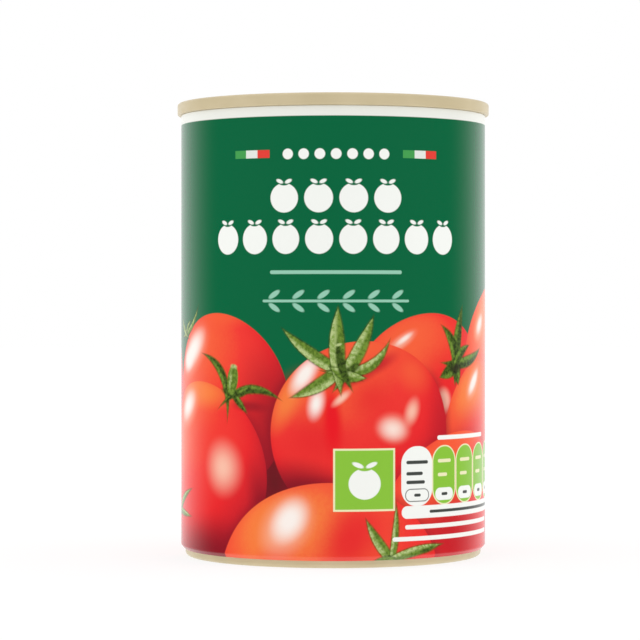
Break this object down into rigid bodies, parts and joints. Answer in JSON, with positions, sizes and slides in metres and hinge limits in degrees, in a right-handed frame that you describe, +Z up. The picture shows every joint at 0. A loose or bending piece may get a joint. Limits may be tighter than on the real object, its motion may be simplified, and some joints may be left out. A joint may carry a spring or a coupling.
{
  "type": "tin of tomatoes",
  "caption": "Closed round food tin with a drawn body, a seamed easy-open end, a ring pull and a paper label with tomatoes on a green ground.",
  "frame": {"origin": "centre of the standing ring, on the surface that the tin stands on", "axes": "+Z up along the tin's axis; -Y is the front of the label; +X is to the right seen from the front"},
  "size_m": [0.0754, 0.0754, 0.109],
  "materials": {
    "lacquered_tinplate": "satin, pale gold-beige lacquer on drawn steel",
    "lacquered_end": "satin, pale gold-beige lacquer on pressed steel",
    "bright_tinplate": "bright tinned steel with curled edges",
    "printed_paper": "glossy printed paper, mostly green, with a white border at the top"
  },
  "bodies": {
    "root": {"can_body": "lacquered_tinplate", "can_end": "lacquered_end", "ring_pull": "bright_tinplate", "label": "printed_paper"}
  },
  "joints": []
}
